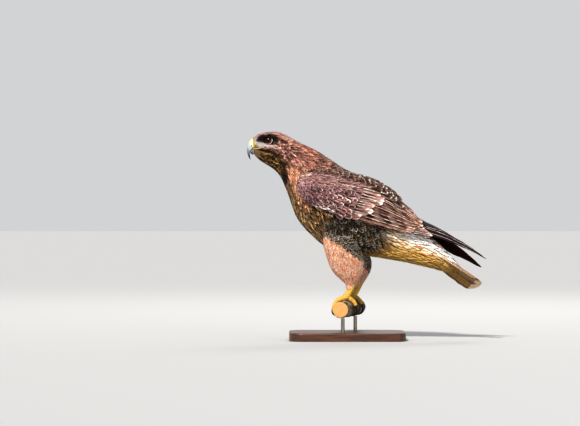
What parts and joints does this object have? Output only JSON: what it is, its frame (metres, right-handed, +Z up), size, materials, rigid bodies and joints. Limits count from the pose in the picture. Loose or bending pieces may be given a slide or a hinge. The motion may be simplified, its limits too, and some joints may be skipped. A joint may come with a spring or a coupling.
{
  "type": "red tailed hawk model",
  "caption": "Still life-size model of a perched red tailed hawk gripping a short cut branch, held by a plain flat display stand with short rods.",
  "frame": {"origin": "centre of the underside of the stand's base, on the floor", "axes": "-X is the way the bird faces, -Y is its left side, +Z is up"},
  "size_m": [0.4547, 0.1664, 0.396],
  "materials": {
    "feather_brown": "dark brown body and wing feathers with pale and rufous edges, softly matt",
    "feather_breast": "breast and belly feathers, dark brown with buff and rufous streaks",
    "feather_rufous": "rufous feathers of the trousers with fine pale bars",
    "feather_tail": "brick red tail feathers with a narrow dark band and a buff tip, paler below",
    "horn": "smooth blue grey to black horn of the bill",
    "cere": "waxy pale yellow skin at the bill's base",
    "eye": "wet glossy eye with a brown iris and a black pupil",
    "leg_skin": "yellow scaly skin of the shanks and toes",
    "claw": "smooth black horn of the claws",
    "bark": "rough grey brown bark with pale cut ends",
    "stand_wood": "dark satin varnished wood",
    "stand_metal": "brushed metal rod"
  },
  "bodies": {
    "root": {"head": "feather_brown", "neck": "feather_brown", "torso": "feather_breast", "cere": "cere", "upper_bill": "horn", "lower_bill": "horn", "eye_left": "eye", "eye_right": "eye", "wing_left": "feather_brown", "wing_right": "feather_brown", "tail": "feather_tail", "thigh_left": "feather_rufous", "thigh_right": "feather_rufous", "tarsus_left": "leg_skin", "tarsus_right": "leg_skin", "foot_left": "leg_skin", "foot_right": "leg_skin", "claw_left_inner": "claw", "claw_left_middle": "claw", "claw_left_outer": "claw", "claw_left_hallux": "claw", "claw_right_inner": "claw", "claw_right_middle": "claw", "claw_right_outer": "claw", "claw_right_hallux": "claw", "perch": "bark", "stand_base": "stand_wood", "stand_rod_left": "stand_metal", "stand_rod_right": "stand_metal"}
  },
  "joints": []
}
